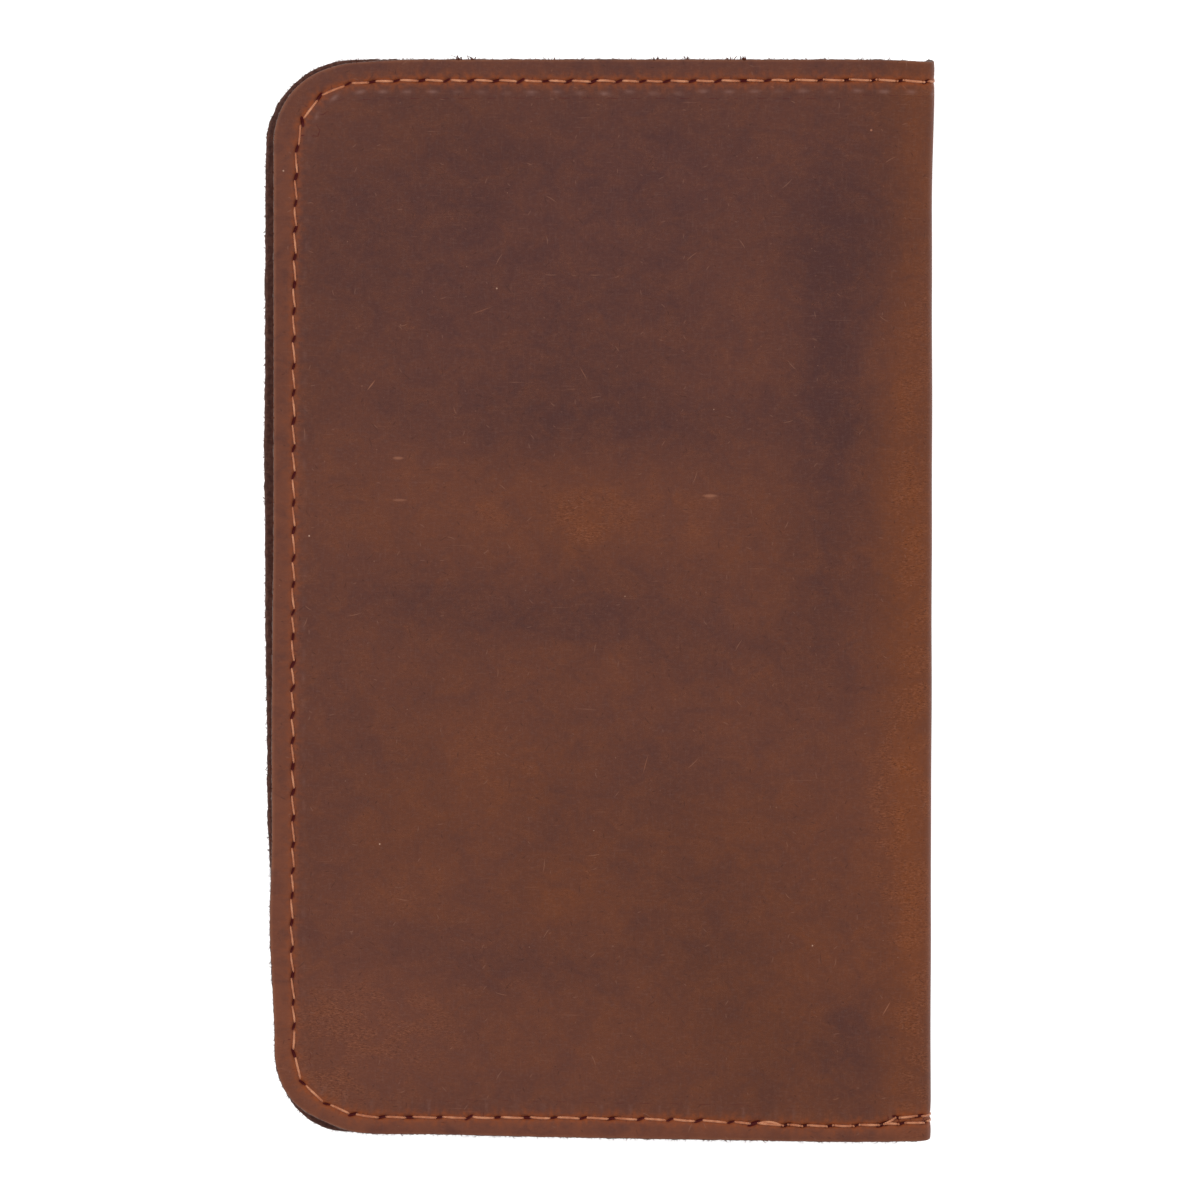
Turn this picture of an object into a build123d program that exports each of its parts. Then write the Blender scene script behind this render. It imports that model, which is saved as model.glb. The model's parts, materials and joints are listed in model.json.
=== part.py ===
"""Leather notebook cover, closed.

One sheet of leather folds round a spine. A sleeve is sewn inside each cover, and a lockstitch seam runs round
the whole edge.

Frame: millimetres, +Z up. The front cover lies on the table, the back cover is on top, and the spine is at +X.
The origin is the centre of the footprint, on the table.

The spine is a half tube that opens on three fold lines along Y, so the cover opens by three coupled turns of
60 degrees. Each fold line lies on the leather's outer surface, where the neighbouring pieces meet, so nothing
overlaps as they turn.
"""

import os
from math import asin, cos, degrees, pi, radians, sin

from build123d import *

# Driving dimensions
HEIGHT = 224.0  # along the spine
WIDTH = 139.0  # from the front cover's fore edge to the outside of the spine
THICKNESS = 13.0  # closed round its notebook, and the outside diameter of the spine
FORE_STEP = 2.3  # how much further the front cover reaches than the back cover
LEATHER = 1.8  # outer leather
SLEEVE_LEATHER = 1.2
POCKET_GAP = 0.6  # free height inside a sleeve
SLEEVE_WIDTH = 104.0  # from the fore edge to the sleeve's mouth
CORNER_RADIUS = 17.5
SEAM_INSET = 4.2  # from the cut edge to the middle of the seam
SEWN_RIM = 6.5  # width of the sleeve's edge that lies flat on the outer leather
STITCH_PITCH = 5.5
STITCH_LENGTH = 3.6  # the part of each stitch that shows
SPINE_STITCH_SHARE = 0.7  # how much of that a straight stitch takes up on the spine's curve
THREAD = 0.56  # thread diameter
GROOVE_WIDTH = 0.9
GROOVE_DEPTH = 0.6  # the needle thread's, in the outside of the leather
INNER_GROOVE_DEPTH = 0.4  # the bobbin thread's, in the sleeves and in the flesh side
LEG_DEPTH = 0.9  # how far a stitch goes down its needle hole
LEG_STEP = 0.14  # how far past the end of its bar the middle of a stitch's leg stands
OVERLAP_LENGTH = 2.88  # of the last stitch of the seam, which lies beside its start
OVERLAP_INSET = 1.9  # how far inside the seam its overlapping end lies
OVERLAP_BACK = 2.6  # from the spine's curve back to the middle of that stitch
OVERLAP_SLANT = 12.0  # its heading, in degrees
FOLD_ANGLES = (30.0, 90.0, 150.0)  # of the three fold lines, from the front cover round the spine
CLEARANCE = 0.02  # between a thread and the floor of its groove

# Derived dimensions
X_SPINE = WIDTH / 2
X_FRONT = -WIDTH / 2
X_BACK = X_FRONT + FORE_STEP
R_OUT = THICKNESS / 2
R_IN = R_OUT - LEATHER
X_TANGENT = X_SPINE - R_OUT  # where the covers end and the spine's curve begins
STACK = LEATHER + POCKET_GAP + SLEEVE_LEATHER
SEAM_Y = HEIGHT / 2 - SEAM_INSET


def panel(x_fore, x_end, low, high, inset=0.0):
    """A flat plate from z low to z high, with round fore corners, inset from its three free edges."""
    x_start = x_fore + inset
    outline = Pos((x_start + x_end) / 2, 0) * Rectangle(x_end - x_start, HEIGHT - 2 * inset)
    fore_corners = outline.vertices().group_by(Axis.X)[0]
    outline = fillet(fore_corners, CORNER_RADIUS - inset)
    return Pos(0, 0, low) * extrude(outline, high - low)


def seam_groove(x_fore, x_start, x_end, low, high):
    """The seam's groove on a flat plate between x_start and x_end."""
    half = GROOVE_WIDTH / 2
    ring = panel(x_fore, x_end, low, high, SEAM_INSET - half)
    ring -= panel(x_fore, x_end + GROOVE_WIDTH, low, high, SEAM_INSET + half)
    window = Pos((x_start + x_end) / 2, 0, (low + high) / 2) * Box(x_end - x_start, HEIGHT, high - low)
    return ring & window


def on_spine(radius, angle):
    """A point (x, z) at a radius from the spine's axis, at an angle in degrees from the front cover."""
    return X_TANGENT + radius * sin(radians(angle)), R_OUT - radius * cos(radians(angle))


def spine_sector(first, last, inner=R_IN, outer=R_OUT, y_middle=0.0, length=HEIGHT):
    """A piece of the spine's half tube between two angles."""

    def place(radius, angle):
        x, z = on_spine(radius, angle)
        return x, y_middle + length / 2, z

    middle = (first + last) / 2
    edges = [
        ThreePointArc(place(outer, first), place(outer, middle), place(outer, last)),
        Line(place(outer, last), place(inner, last)),
        ThreePointArc(place(inner, last), place(inner, middle), place(inner, first)),
        Line(place(inner, first), place(outer, first)),
    ]
    return extrude(make_face(edges), length, dir=(0, -1, 0))


def spine_grooves(first, last):
    """The seam's grooves outside and inside a spine sector, at the head and the foot."""
    cuts = []
    for y in (SEAM_Y, -SEAM_Y):
        outer = spine_sector(first, last, R_OUT - GROOVE_DEPTH, R_OUT, y, GROOVE_WIDTH)
        inner = spine_sector(first, last, R_IN, R_IN + INNER_GROOVE_DEPTH, y, GROOVE_WIDTH)
        cuts += [outer, inner]
    return cuts


def cover_leather(x_fore, reach):
    """One cover's outer leather, lying as the front cover does, with its share of the spine's curve."""
    x_mouth = x_fore + SLEEVE_WIDTH
    solid = panel(x_fore, X_TANGENT, 0, LEATHER) + spine_sector(0, reach)
    solid -= seam_groove(x_fore, x_fore, X_TANGENT, 0, GROOVE_DEPTH)
    solid -= seam_groove(x_fore, x_mouth, X_TANGENT, LEATHER - INNER_GROOVE_DEPTH, LEATHER)
    for cut in spine_grooves(0, reach):
        solid -= cut
    return solid


def spine_leather(first, last):
    solid = spine_sector(first, last)
    for cut in spine_grooves(first, last):
        solid -= cut
    return solid


def sleeve(x_fore):
    """A sleeve sewn down round three edges and open towards the spine."""
    x_mouth = x_fore + SLEEVE_WIDTH
    rim_top = LEATHER + SLEEVE_LEATHER
    rim = panel(x_fore, x_mouth, LEATHER, rim_top) - panel(x_fore, x_mouth, LEATHER, rim_top, SEWN_RIM)
    field = panel(x_fore, x_mouth, LEATHER + POCKET_GAP, STACK, SEWN_RIM - SLEEVE_LEATHER)
    groove = seam_groove(x_fore, x_fore, x_mouth, rim_top - INNER_GROOVE_DEPTH, rim_top)
    return rim + field - groove


def seam_runs(x_fore):
    """The seam on a cover, from the spine's foot to its head, as runs of (length, place at a distance)."""
    x_line = x_fore + SEAM_INSET
    radius = CORNER_RADIUS - SEAM_INSET
    x_turn, y_turn = x_line + radius, SEAM_Y - radius
    along = X_TANGENT - x_turn
    quarter = radius * pi / 2

    def foot_corner(d):
        a = d / radius
        return x_turn - radius * sin(a), -y_turn - radius * cos(a), 180 - degrees(a)

    def head_corner(d):
        a = d / radius
        return x_turn - radius * cos(a), y_turn + radius * sin(a), 90 - degrees(a)

    return [
        (along, lambda d: (X_TANGENT - d, -SEAM_Y, 180)),
        (quarter, foot_corner),
        (2 * y_turn, lambda d: (x_line, -y_turn + d, 90)),
        (quarter, head_corner),
        (along, lambda d: (x_turn + d, SEAM_Y, 0)),
    ]


def seam_places(x_fore):
    """Where each stitch of a cover's seam lies: (x, y, heading) of its middle, evenly spaced."""
    runs = seam_runs(x_fore)
    total = sum(length for length, _ in runs)
    count = round(total / STITCH_PITCH)
    places = []
    for i in range(count):
        d = (i + 0.5) * total / count
        for length, at in runs:
            if d <= length:
                places.append(at(d))
                break
            d -= length
    return places


def stitch(length=STITCH_LENGTH):
    """A stitch along X: a bar with its underside at z 0, and the leg that goes down its needle hole."""
    bar = Pos(0, 0, THREAD / 2) * Rot(0, 90, 0) * Cylinder(THREAD / 2, length)
    leg = Cylinder(THREAD / 2, LEG_DEPTH + THREAD)
    leg = Pos(-length / 2 - LEG_STEP, 0, (THREAD - LEG_DEPTH) / 2) * leg
    return bar + leg


def needle_stitches(x_fore):
    """The stitches that show outside a cover, lying as on the front cover, with their legs upward."""
    one = Pos(0, 0, GROOVE_DEPTH - CLEARANCE) * Rot(180, 0, 0) * stitch()
    return [Pos(x, y, 0) * Rot(0, 0, heading) * one for x, y, heading in seam_places(x_fore)]


def bobbin_stitches(x_fore):
    """The stitches that show inside a cover: on the sleeve, and beyond its mouth on the outer leather."""
    one = stitch()
    placed = []
    for x, y, heading in seam_places(x_fore):
        on_sleeve = x < x_fore + SLEEVE_WIDTH - STITCH_LENGTH / 2 - THREAD
        on_leather = x > x_fore + SLEEVE_WIDTH + STITCH_LENGTH / 2 + THREAD
        if not (on_sleeve or on_leather):
            continue  # this stitch dives under the sleeve's cut edge
        surface = LEATHER + SLEEVE_LEATHER if on_sleeve else LEATHER
        floor = surface - INNER_GROOVE_DEPTH + CLEARANCE
        placed.append(Pos(x, y, floor) * Rot(0, 0, heading) * one)
    return placed


def spine_stitches(angle, needle):
    """The stitches at the head and foot of a spine sector, outside (needle) or inside (bobbin)."""
    if needle:
        radius, turn = R_OUT - GROOVE_DEPTH + CLEARANCE, 180
    else:
        radius, turn = R_IN + INNER_GROOVE_DEPTH - CLEARANCE, 0
    x, z = on_spine(radius, angle)
    length = STITCH_LENGTH * SPINE_STITCH_SHARE
    one = Rot(0, -angle, 0) * Rot(turn, 0, 0) * stitch(length)
    return [Pos(x, y, z) * one for y in (SEAM_Y, -SEAM_Y)]


def overlap_stitch():
    """Where the seam ends beside its own start, near the foot of the spine, lying as on the front cover."""
    one = Pos(0, 0, THREAD + CLEARANCE) * Rot(180, 0, 0) * stitch(OVERLAP_LENGTH)
    return Pos(X_TANGENT - OVERLAP_BACK, OVERLAP_INSET - SEAM_Y, 0) * Rot(0, 0, OVERLAP_SLANT) * one


def on_back(shape):
    """Turns a shape made on the front cover's side of the spine into its mirror image on the back cover."""
    return mirror(shape, about=Plane.XY.offset(R_OUT))


def build():
    one, two, three = FOLD_ANGLES
    front, back = X_FRONT, X_BACK
    nodes = {
        "front_cover_leather": cover_leather(front, one),
        "spine_front_leather": spine_leather(one, two),
        "spine_back_leather": spine_leather(two, three),
        "back_cover_leather": on_back(cover_leather(back, one)),
        "front_sleeve": sleeve(front),
        "back_sleeve": on_back(sleeve(back)),
        "front_needle_thread": needle_stitches(front),
        "front_bobbin_thread": bobbin_stitches(front),
        "spine_front_needle_thread": spine_stitches((one + two) / 2, needle=True),
        "spine_front_bobbin_thread": spine_stitches((one + two) / 2, needle=False),
        "spine_back_needle_thread": spine_stitches((two + three) / 2, needle=True),
        "spine_back_bobbin_thread": spine_stitches((two + three) / 2, needle=False),
        "back_needle_thread": [on_back(s) for s in needle_stitches(back) + [overlap_stitch()]],
        "back_bobbin_thread": [on_back(s) for s in bobbin_stitches(back)],
    }
    os.makedirs("parts", exist_ok=True)
    for name, made in nodes.items():
        solids = made if isinstance(made, list) else [made]
        shape = Compound(children=[s for item in solids for s in item.solids()])
        shape.label = name
        export_step(shape, f"parts/{name}.step")
    for angle in FOLD_ANGLES:
        x, z = on_spine(R_OUT, angle)
        print(f"fold line at {angle:g} degrees: x {x:.4f}, z {z:.4f}")


build()
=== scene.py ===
"""Looks of the closed leather notebook cover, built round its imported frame.

All shapes are worked out in millimetres on the flat sheet of outer leather. A sheet point is (u, v) at a
depth n below the grain side: u is the row's x on the back cover, runs on round the spine and along the front
cover, and v is the row's y. place() folds sheet points into the row frame, so the leather, the sleeves and
the stitches share one fold.
"""

import json
import math

import bpy
import numpy as np
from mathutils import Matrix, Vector
from mathutils.geometry import delaunay_2d_cdt


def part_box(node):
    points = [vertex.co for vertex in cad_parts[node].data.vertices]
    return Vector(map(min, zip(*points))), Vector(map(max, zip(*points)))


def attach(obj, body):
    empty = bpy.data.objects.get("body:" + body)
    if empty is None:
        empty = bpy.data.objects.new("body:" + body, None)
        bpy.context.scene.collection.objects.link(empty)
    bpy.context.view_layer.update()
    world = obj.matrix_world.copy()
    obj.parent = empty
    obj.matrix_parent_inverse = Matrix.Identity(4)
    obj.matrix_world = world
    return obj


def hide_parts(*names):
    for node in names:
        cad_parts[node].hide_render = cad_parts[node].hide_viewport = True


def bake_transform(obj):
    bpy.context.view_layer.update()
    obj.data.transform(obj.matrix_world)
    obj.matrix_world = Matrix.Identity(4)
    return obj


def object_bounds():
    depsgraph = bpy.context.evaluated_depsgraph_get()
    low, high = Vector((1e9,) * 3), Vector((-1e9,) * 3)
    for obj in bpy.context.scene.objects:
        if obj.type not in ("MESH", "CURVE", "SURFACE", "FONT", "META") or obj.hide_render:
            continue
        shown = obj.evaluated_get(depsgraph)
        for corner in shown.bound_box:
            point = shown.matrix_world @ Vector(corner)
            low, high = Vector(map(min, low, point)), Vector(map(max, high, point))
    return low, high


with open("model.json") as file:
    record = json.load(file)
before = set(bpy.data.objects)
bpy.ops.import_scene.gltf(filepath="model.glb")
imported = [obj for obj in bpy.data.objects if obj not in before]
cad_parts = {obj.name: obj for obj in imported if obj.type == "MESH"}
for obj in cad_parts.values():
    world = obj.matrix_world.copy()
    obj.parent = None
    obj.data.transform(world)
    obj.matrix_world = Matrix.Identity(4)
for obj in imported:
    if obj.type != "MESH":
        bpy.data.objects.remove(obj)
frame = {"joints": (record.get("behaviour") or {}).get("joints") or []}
CAD_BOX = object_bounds()
MM = 0.001

# ---- sizes read from the frame, in millimetres


def cad_box(node):
    low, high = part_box(node)
    return np.array(low) / MM, np.array(high) / MM


LOW = np.array(CAD_BOX[0]) / MM
HIGH = np.array(CAD_BOX[1]) / MM
THICK = HIGH[2]  # closed
R_OUT = THICK / 2
X_TANGENT = HIGH[0] - R_OUT  # where the covers end and the spine's curve begins
FRONT_SLEEVE = cad_box("front_sleeve")
LEATHER = FRONT_SLEEVE[0][2]
STACK = FRONT_SLEEVE[1][2]  # from the outside of a cover to the inside of its sleeve
FRONT_FORE = LOW[0]
BACK_FORE = cad_box("back_cover_leather")[0][0]
SLEEVE_WIDTH = FRONT_SLEEVE[1][0] - FRONT_FORE
HALF_HEIGHT = HIGH[1]

# Sizes of the looks, in millimetres
POCKET_GAP = 0.6
SLEEVE_LEATHER = STACK - LEATHER - POCKET_GAP
SEWN_RIM = 6.5
CORNER = 17.5
SEAM_INSET = 4.1
FOLD_POWER = 4.0  # 2 is a round fold, and more is a squarer one
EDGE_ROUND = 0.28
THREAD_RADIUS = 0.235
THREAD_SUNK = 0.26  # depth of a stitch's middle line below the grain
THREAD_LAY = 1.5  # length of one twist of the thread
PITCH_HEAD = 5.12
FORE_PITCHES = ((-4, 5.65), (-45, 5.33), (-64, 5.5), (-86, 5.85), (-97, 5.35))  # (from this v up, pitch)
PITCH_CORNER = 6.55  # round the fore corners
PITCH_FOOT = 5.99
PITCH_SINGLE = 5.5  # beyond the sleeve's mouth, where there is one layer
FIRST_HOLE = 68.9  # u of the first hole of the seam, at the foot of the spine
FIRST_PITCHES = (5.6, 4.0, 5.4, 5.4, 5.4, 3.8, 6.7, 4.8, 6.7)  # sewn by hand to lock the thread
SLIT_HALF = 1.05  # half length of the slit that the needle's point left
SLIT_WIDE = 0.31
THREAD_SHOWS = 0.95  # how far past a hole's middle the thread comes up
FEED_INSET = 2.35  # the sewing machine's feed marks, inside the seam
SECOND_LINE = -106.9  # v of the seam's doubled end, at the spine's foot
THREAD_SIDES = 12
FIBRE_SIDES = 5
FIBRES = 900  # loose ones on each cover's edge

rng = np.random.default_rng(12)


def smooth(t):
    t = np.clip(t, 0, 1)
    return t * t * (3 - 2 * t)


def bump(x, width):
    """A bell of height 1 and about that half width."""
    return np.exp(-((np.asarray(x) / width) ** 2))


def blot(du, dv, heading, long, wide):
    """A soft oval, 1 in its middle, with its half length along heading and its half width across it."""
    c, s = math.cos(heading), math.sin(heading)
    return bump(du * c + dv * s, long) * bump(dv * c - du * s, wide)


def rounding(gap, width):
    """1 at a cut edge, falling to 0 at width inside it."""
    return np.clip(1 - gap / width, 0, 1) ** 2


def columns(*values):
    return np.stack(values, axis=-1)


# ---- the fold


def fold_section():
    """The outer surface round the spine, from the back cover to the front one, as (length along it, x, z)."""
    angle = np.linspace(math.pi, 0, 1441)
    side, along = np.abs(np.sin(angle)), np.abs(np.cos(angle))
    radius = R_OUT * (side**FOLD_POWER + along**FOLD_POWER) ** (-1 / FOLD_POWER)
    x = X_TANGENT + radius * np.sin(angle)
    z = R_OUT - radius * np.cos(angle)
    step = np.hypot(np.diff(x), np.diff(z))
    length = np.concatenate([[0], np.cumsum(step)])
    return angle, length - length[-1] / 2, x, z


FOLD_ANGLE, FOLD_Q, FOLD_X, FOLD_Z = fold_section()
HALF_FOLD = FOLD_Q[-1]
U_SPINE = X_TANGENT + HALF_FOLD  # the middle of the spine
U_BACK = BACK_FORE
U_FRONT = U_SPINE + HALF_FOLD + X_TANGENT - FRONT_FORE
SINGLE_HALF = U_SPINE - (U_BACK + SLEEVE_WIDTH)  # from the spine's middle to a sleeve's mouth
TANGENT_X = np.gradient(FOLD_X, FOLD_Q)
TANGENT_Z = np.gradient(FOLD_Z, FOLD_Q)
TANGENT_X[0], TANGENT_Z[0] = 1.0, 0.0
TANGENT_X[-1], TANGENT_Z[-1] = -1.0, 0.0


# How far the fore corners are cut outside their true arcs: (u of the fore edge, 1 head or -1 foot, degrees
# round the corner from the fore edge, outward, half width)
CORNER_CUTS = (
    (U_FRONT, 1, 35, -0.6, 12),
    (U_FRONT, 1, 72, -0.22, 7),
    (U_FRONT, -1, 8, -0.35, 7),
    (U_FRONT, -1, 45, 1.25, 11),
    (U_FRONT, -1, 72, 0.75, 8),
    (U_BACK, 1, 78, -0.7, 9),
    (U_BACK, -1, 35, 0.55, 9),
    (U_BACK, -1, 67, -0.65, 6.5),
    (U_BACK, -1, 98, 0.35, 8),
)


def hand_cut(u, v):
    """Moves sheet points a little, so that the outline is as uneven as a hand-cut one."""
    on_back = smooth((30 - u) / 70)
    bulge = 0.3 * bump(v + 30, 25) + 0.65 * bump(v + 68, 13) - 0.4 * bump(v + 97, 11)
    bulge = bulge - 0.1 * smooth((v + 5) / 20)
    across = np.abs(u - U_SPINE)
    lift = 1.75 * np.clip((across - 15) / 108, 0, 1.2) ** 2 * smooth((-v - 45) / 60)
    at_head = 0.6 * bump(across, 12) - 0.9 * bump(across, 3.5)
    at_foot = 0.2 * bump(across, 5) - 0.28 * bump(across - 22, 20)
    at_spine = np.where(v > 0, at_head, at_foot)
    on_front = smooth((u - U_SPINE - 40) / 70)
    slant = 0.25 + 0.45 * smooth((5 - v) / 45) + 1.6 * smooth((-v - 38) / 45) - 0.22 * bump(v - 31, 14)
    peek = (0.5 + 0.25 * smooth((u - U_SPINE - 90) / 40)) * smooth((v - 60) / 40)
    u_cut = u - bulge * on_back - slant * on_front
    v_cut = v + lift - np.sign(v) * at_spine * smooth((np.abs(v) - 40) / 60) + peek * on_front
    for fore, end, turn, out, width in CORNER_CUTS:
        outward = math.copysign(1, fore - U_SPINE)
        du, dv = outward * math.cos(math.radians(turn)), end * math.sin(math.radians(turn))
        at_u = fore - outward * CORNER + CORNER * du
        at_v = end * (HALF_HEIGHT - CORNER) + CORNER * dv
        shape = out * bump(np.hypot(u - at_u, v - at_v), width)
        u_cut, v_cut = u_cut + du * shape, v_cut + dv * shape
    return u_cut, v_cut


def place(u, v, n):
    """Row-frame points, in millimetres, of sheet points at depth n below the grain side."""
    u, v, n = np.broadcast_arrays(np.asarray(u, float), np.asarray(v, float), np.asarray(n, float))
    u, v = hand_cut(u, v)
    q = u - U_SPINE
    held = np.clip(q, -HALF_FOLD, HALF_FOLD)
    tx, tz = np.interp(held, FOLD_Q, TANGENT_X), np.interp(held, FOLD_Q, TANGENT_Z)
    lean = 0.08 - 0.27 * smooth((30 - v) / 120) + 0.5 * smooth((v - 80) / 30)
    x = np.interp(held, FOLD_Q, FOLD_X) + tx * (q - held) + lean * smooth((70 - np.abs(q)) / 50)
    z = np.interp(held, FOLD_Q, FOLD_Z) + tz * (q - held)
    return columns(x + n * tz, v, z - n * tx)


# ---- outlines and triangulation

ALL_CORNERS = ("foot_low", "foot_high", "head_high", "head_low")


def inset_of(u, v, u_low=U_BACK, u_high=U_FRONT):
    """How far inside the sheet's rounded outline a sheet point lies."""
    middle, half = (u_low + u_high) / 2, (u_high - u_low) / 2
    du = np.abs(u - middle) - (half - CORNER)
    dv = np.abs(v) - (HALF_HEIGHT - CORNER)
    outside = np.hypot(np.maximum(du, 0), np.maximum(dv, 0))
    return CORNER - outside - np.minimum(np.maximum(du, dv), 0)


def inward_at(u, v):
    """The direction in the sheet straight away from its outline, as its parts along u and v."""
    step = 0.05
    du = inset_of(u + step, v) - inset_of(u - step, v)
    dv = inset_of(u, v + step) - inset_of(u, v - step)
    return du / (2 * step), dv / (2 * step)


def ring(inset, spacing, corners=ALL_CORNERS, u_low=U_BACK, u_high=U_FRONT):
    """Points round the outline at an inset. corners names the rounded ones."""
    low, high = u_low + inset, u_high - inset
    top = HALF_HEIGHT - inset
    spots = {
        "foot_low": (low, -top, math.pi, 1.5 * math.pi),
        "foot_high": (high, -top, 1.5 * math.pi, 2 * math.pi),
        "head_high": (high, top, 0, math.pi / 2),
        "head_low": (low, top, math.pi / 2, math.pi),
    }
    bends = []
    for name, (u, v, start, end) in spots.items():
        radius = max(CORNER - inset, 0.2) if name in corners else 0.0
        cu, cv = u - math.copysign(radius, u - (low + high) / 2), v - math.copysign(radius, v)
        count = max(1, round(radius * math.pi / 2 / spacing)) if radius else 0
        angles = np.linspace(start, end, count + 1)
        bends.append(columns(cu + radius * np.cos(angles), cv + radius * np.sin(angles)))
    points = []
    for bend, after in zip(bends, bends[1:] + bends[:1]):
        gap = np.linalg.norm(after[0] - bend[-1])
        count = max(1, round(gap / spacing))
        share = np.linspace(0, 1, count + 1)[1:-1, None]
        points += [bend, bend[-1] + share * (after[0] - bend[-1])]
    return np.concatenate(points)


def field_points(u_low, u_high, margin, spacing):
    """A staggered grid over the sheet, further inside its outline than margin."""
    rows = np.arange(-HALF_HEIGHT + margin, HALF_HEIGHT - margin, spacing * 0.87)
    points = []
    for k, v in enumerate(rows):
        u = np.arange(u_low + margin + (k % 2) * spacing / 2, u_high - margin, spacing)
        points.append(columns(u, np.full_like(u, v)))
    return np.concatenate(points)


def triangulate(outline, lines, inner):
    """Delaunay triangles inside an outline, with some lines kept as edges. Returns points and triangles."""
    points = list(outline)
    edges = [(i, (i + 1) % len(outline)) for i in range(len(outline))]
    for line in lines:
        start = len(points)
        points += list(line)
        edges += [(start + i, start + i + 1) for i in range(len(line) - 1)]
    points += list(inner)
    found = delaunay_2d_cdt([Vector(p) for p in points], edges, [], 1, 1e-5)
    return np.array([tuple(p) for p in found[0]]), np.array(found[2])


# ---- the seam


# Where the seam wanders from its usual inset on the back cover: (u, v, half width, how much further in)
SEAM_BOWS = (
    (U_BACK + 4, 100, 8, 0.6),
    (U_BACK + 4, 86, 20, 0.4),
    (U_BACK + 4, -50, 45, 0.25),
    (U_BACK + 4, -68, 12, 0.2),
    (3, HALF_HEIGHT - 4, 45, 0.4),
    (-42, -HALF_HEIGHT + 4, 24, -0.7),
    (45, -HALF_HEIGHT + 4, 20, -0.85),
)


def seam_inset(u, v):
    """How far inside the outline the seam runs, at the sheet points nearest it."""
    return SEAM_INSET + sum(more * bump(np.hypot(u - bu, v - bv), wide) for bu, bv, wide, more in SEAM_BOWS)


def seam_path():
    """The seam's loop from the spine's foot round the back cover: points, heading, length so far, total."""
    points = ring(SEAM_INSET, 0.05)
    u, v = points.T
    points = points + columns(*inward_at(u, v)) * (seam_inset(u, v) - SEAM_INSET)[:, None]
    start = np.argmin(np.hypot(points[:, 0] - U_SPINE, points[:, 1] + HALF_HEIGHT))
    points = np.roll(points, -start, axis=0)[::-1]
    ahead = np.roll(points, -1, axis=0) - np.roll(points, 1, axis=0)
    heading = np.arctan2(ahead[:, 1], ahead[:, 0])
    step = np.linalg.norm(np.roll(points, -1, axis=0) - points, axis=1)
    return points, heading, np.concatenate([[0], np.cumsum(step)[:-1]]), step.sum()


def pitch_at(u, v):
    """The stitch length that each stretch of the seam was sewn with."""
    if v > 0 and abs(u - U_SPINE) < SINGLE_HALF:
        return PITCH_SINGLE
    if abs(v) < HALF_HEIGHT - CORNER + 2:
        return next(pitch for lowest, pitch in FORE_PITCHES if v > lowest)
    if abs(u - U_SPINE) > U_SPINE - U_BACK - CORNER + 4:
        return PITCH_CORNER
    return PITCH_HEAD if v > 0 else PITCH_FOOT


def sew():
    """The needle holes in order: rows of (u, v, heading, side). side is -1 on a fore edge and 1 elsewhere."""
    points, heading, length, total = seam_path()
    first = U_SPINE - FIRST_HOLE
    stops, by_hand = [first], list(FIRST_PITCHES)
    while stops[-1] < total + first - PITCH_FOOT / 2:
        u, v = points[np.searchsorted(length, stops[-1]) % len(points)]
        stops.append(stops[-1] + (by_hand.pop(0) if by_hand else pitch_at(u, v)))
    stops = np.array(stops)
    half = total / 2
    spare = total + first - stops[-1]
    stops = stops + spare * np.clip((stops - half) / (stops[-1] - half), 0, 1)
    stops[len(FIRST_PITCHES) + 1:-1] += rng.normal(0, 0.14, len(stops) - len(FIRST_PITCHES) - 2)
    at = np.searchsorted(length, stops[:-1] % total) % len(points)
    side = np.where(np.abs(points[at, 1]) < HALF_HEIGHT - CORNER, -1, 1)
    return np.column_stack([points[at], heading[at], side])


HOLES = sew()
OVERLAP = np.array([
    (62.2, -107.0, 2.6, 1),
    (67.0, -106.8, 3.1, 1),
    (U_SPINE - 1.6, -106.8, 3.1, 1),
    (U_SPINE + 4.0, -107.0, 3.2, 1),
])
ALL_HOLES = np.concatenate([HOLES, OVERLAP])


def hole_at_foot(u):
    """Which hole of the seam is nearest to u on the foot's edge."""
    return np.argmin(np.hypot(HOLES[:, 0] - u, HOLES[:, 1] + HALF_HEIGHT))


SLIT_TURN = np.where(ALL_HOLES[:, 3] < 0, -0.30, 0.30) + rng.normal(0, 0.13, len(ALL_HOLES))
SLIT_GROW = rng.uniform(0.78, 1.16, len(ALL_HOLES))  # each slit's size against the usual
TORN = hole_at_foot(32)  # a doubled stitch ends in this hole
LOCKED = hole_at_foot(58.8)  # where the seam's end crosses back
SLIT_GROW[[TORN, LOCKED]] = 1.4


def near_holes(u, v, reach=3.5):
    """For sheet points, their place in the frame of the nearest slit: (along, across, distance)."""
    heading = ALL_HOLES[:, 2] + SLIT_TURN
    along, across, best = (np.full(u.shape, 99.0) for _ in range(3))
    for (hu, hv, _, _), c, s, grow in zip(ALL_HOLES, np.cos(heading), np.sin(heading), SLIT_GROW):
        near = np.nonzero((np.abs(u - hu) < reach) & (np.abs(v - hv) < reach))[0]
        du, dv = u[near] - hu, v[near] - hv
        gap = np.hypot(du, dv)
        closer = gap < best[near]
        pick = near[closer]
        along[pick] = (du * c + dv * s)[closer] / grow
        across[pick] = (dv * c - du * s)[closer] / grow
        best[pick] = gap[closer]
    return along, across, best


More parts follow.
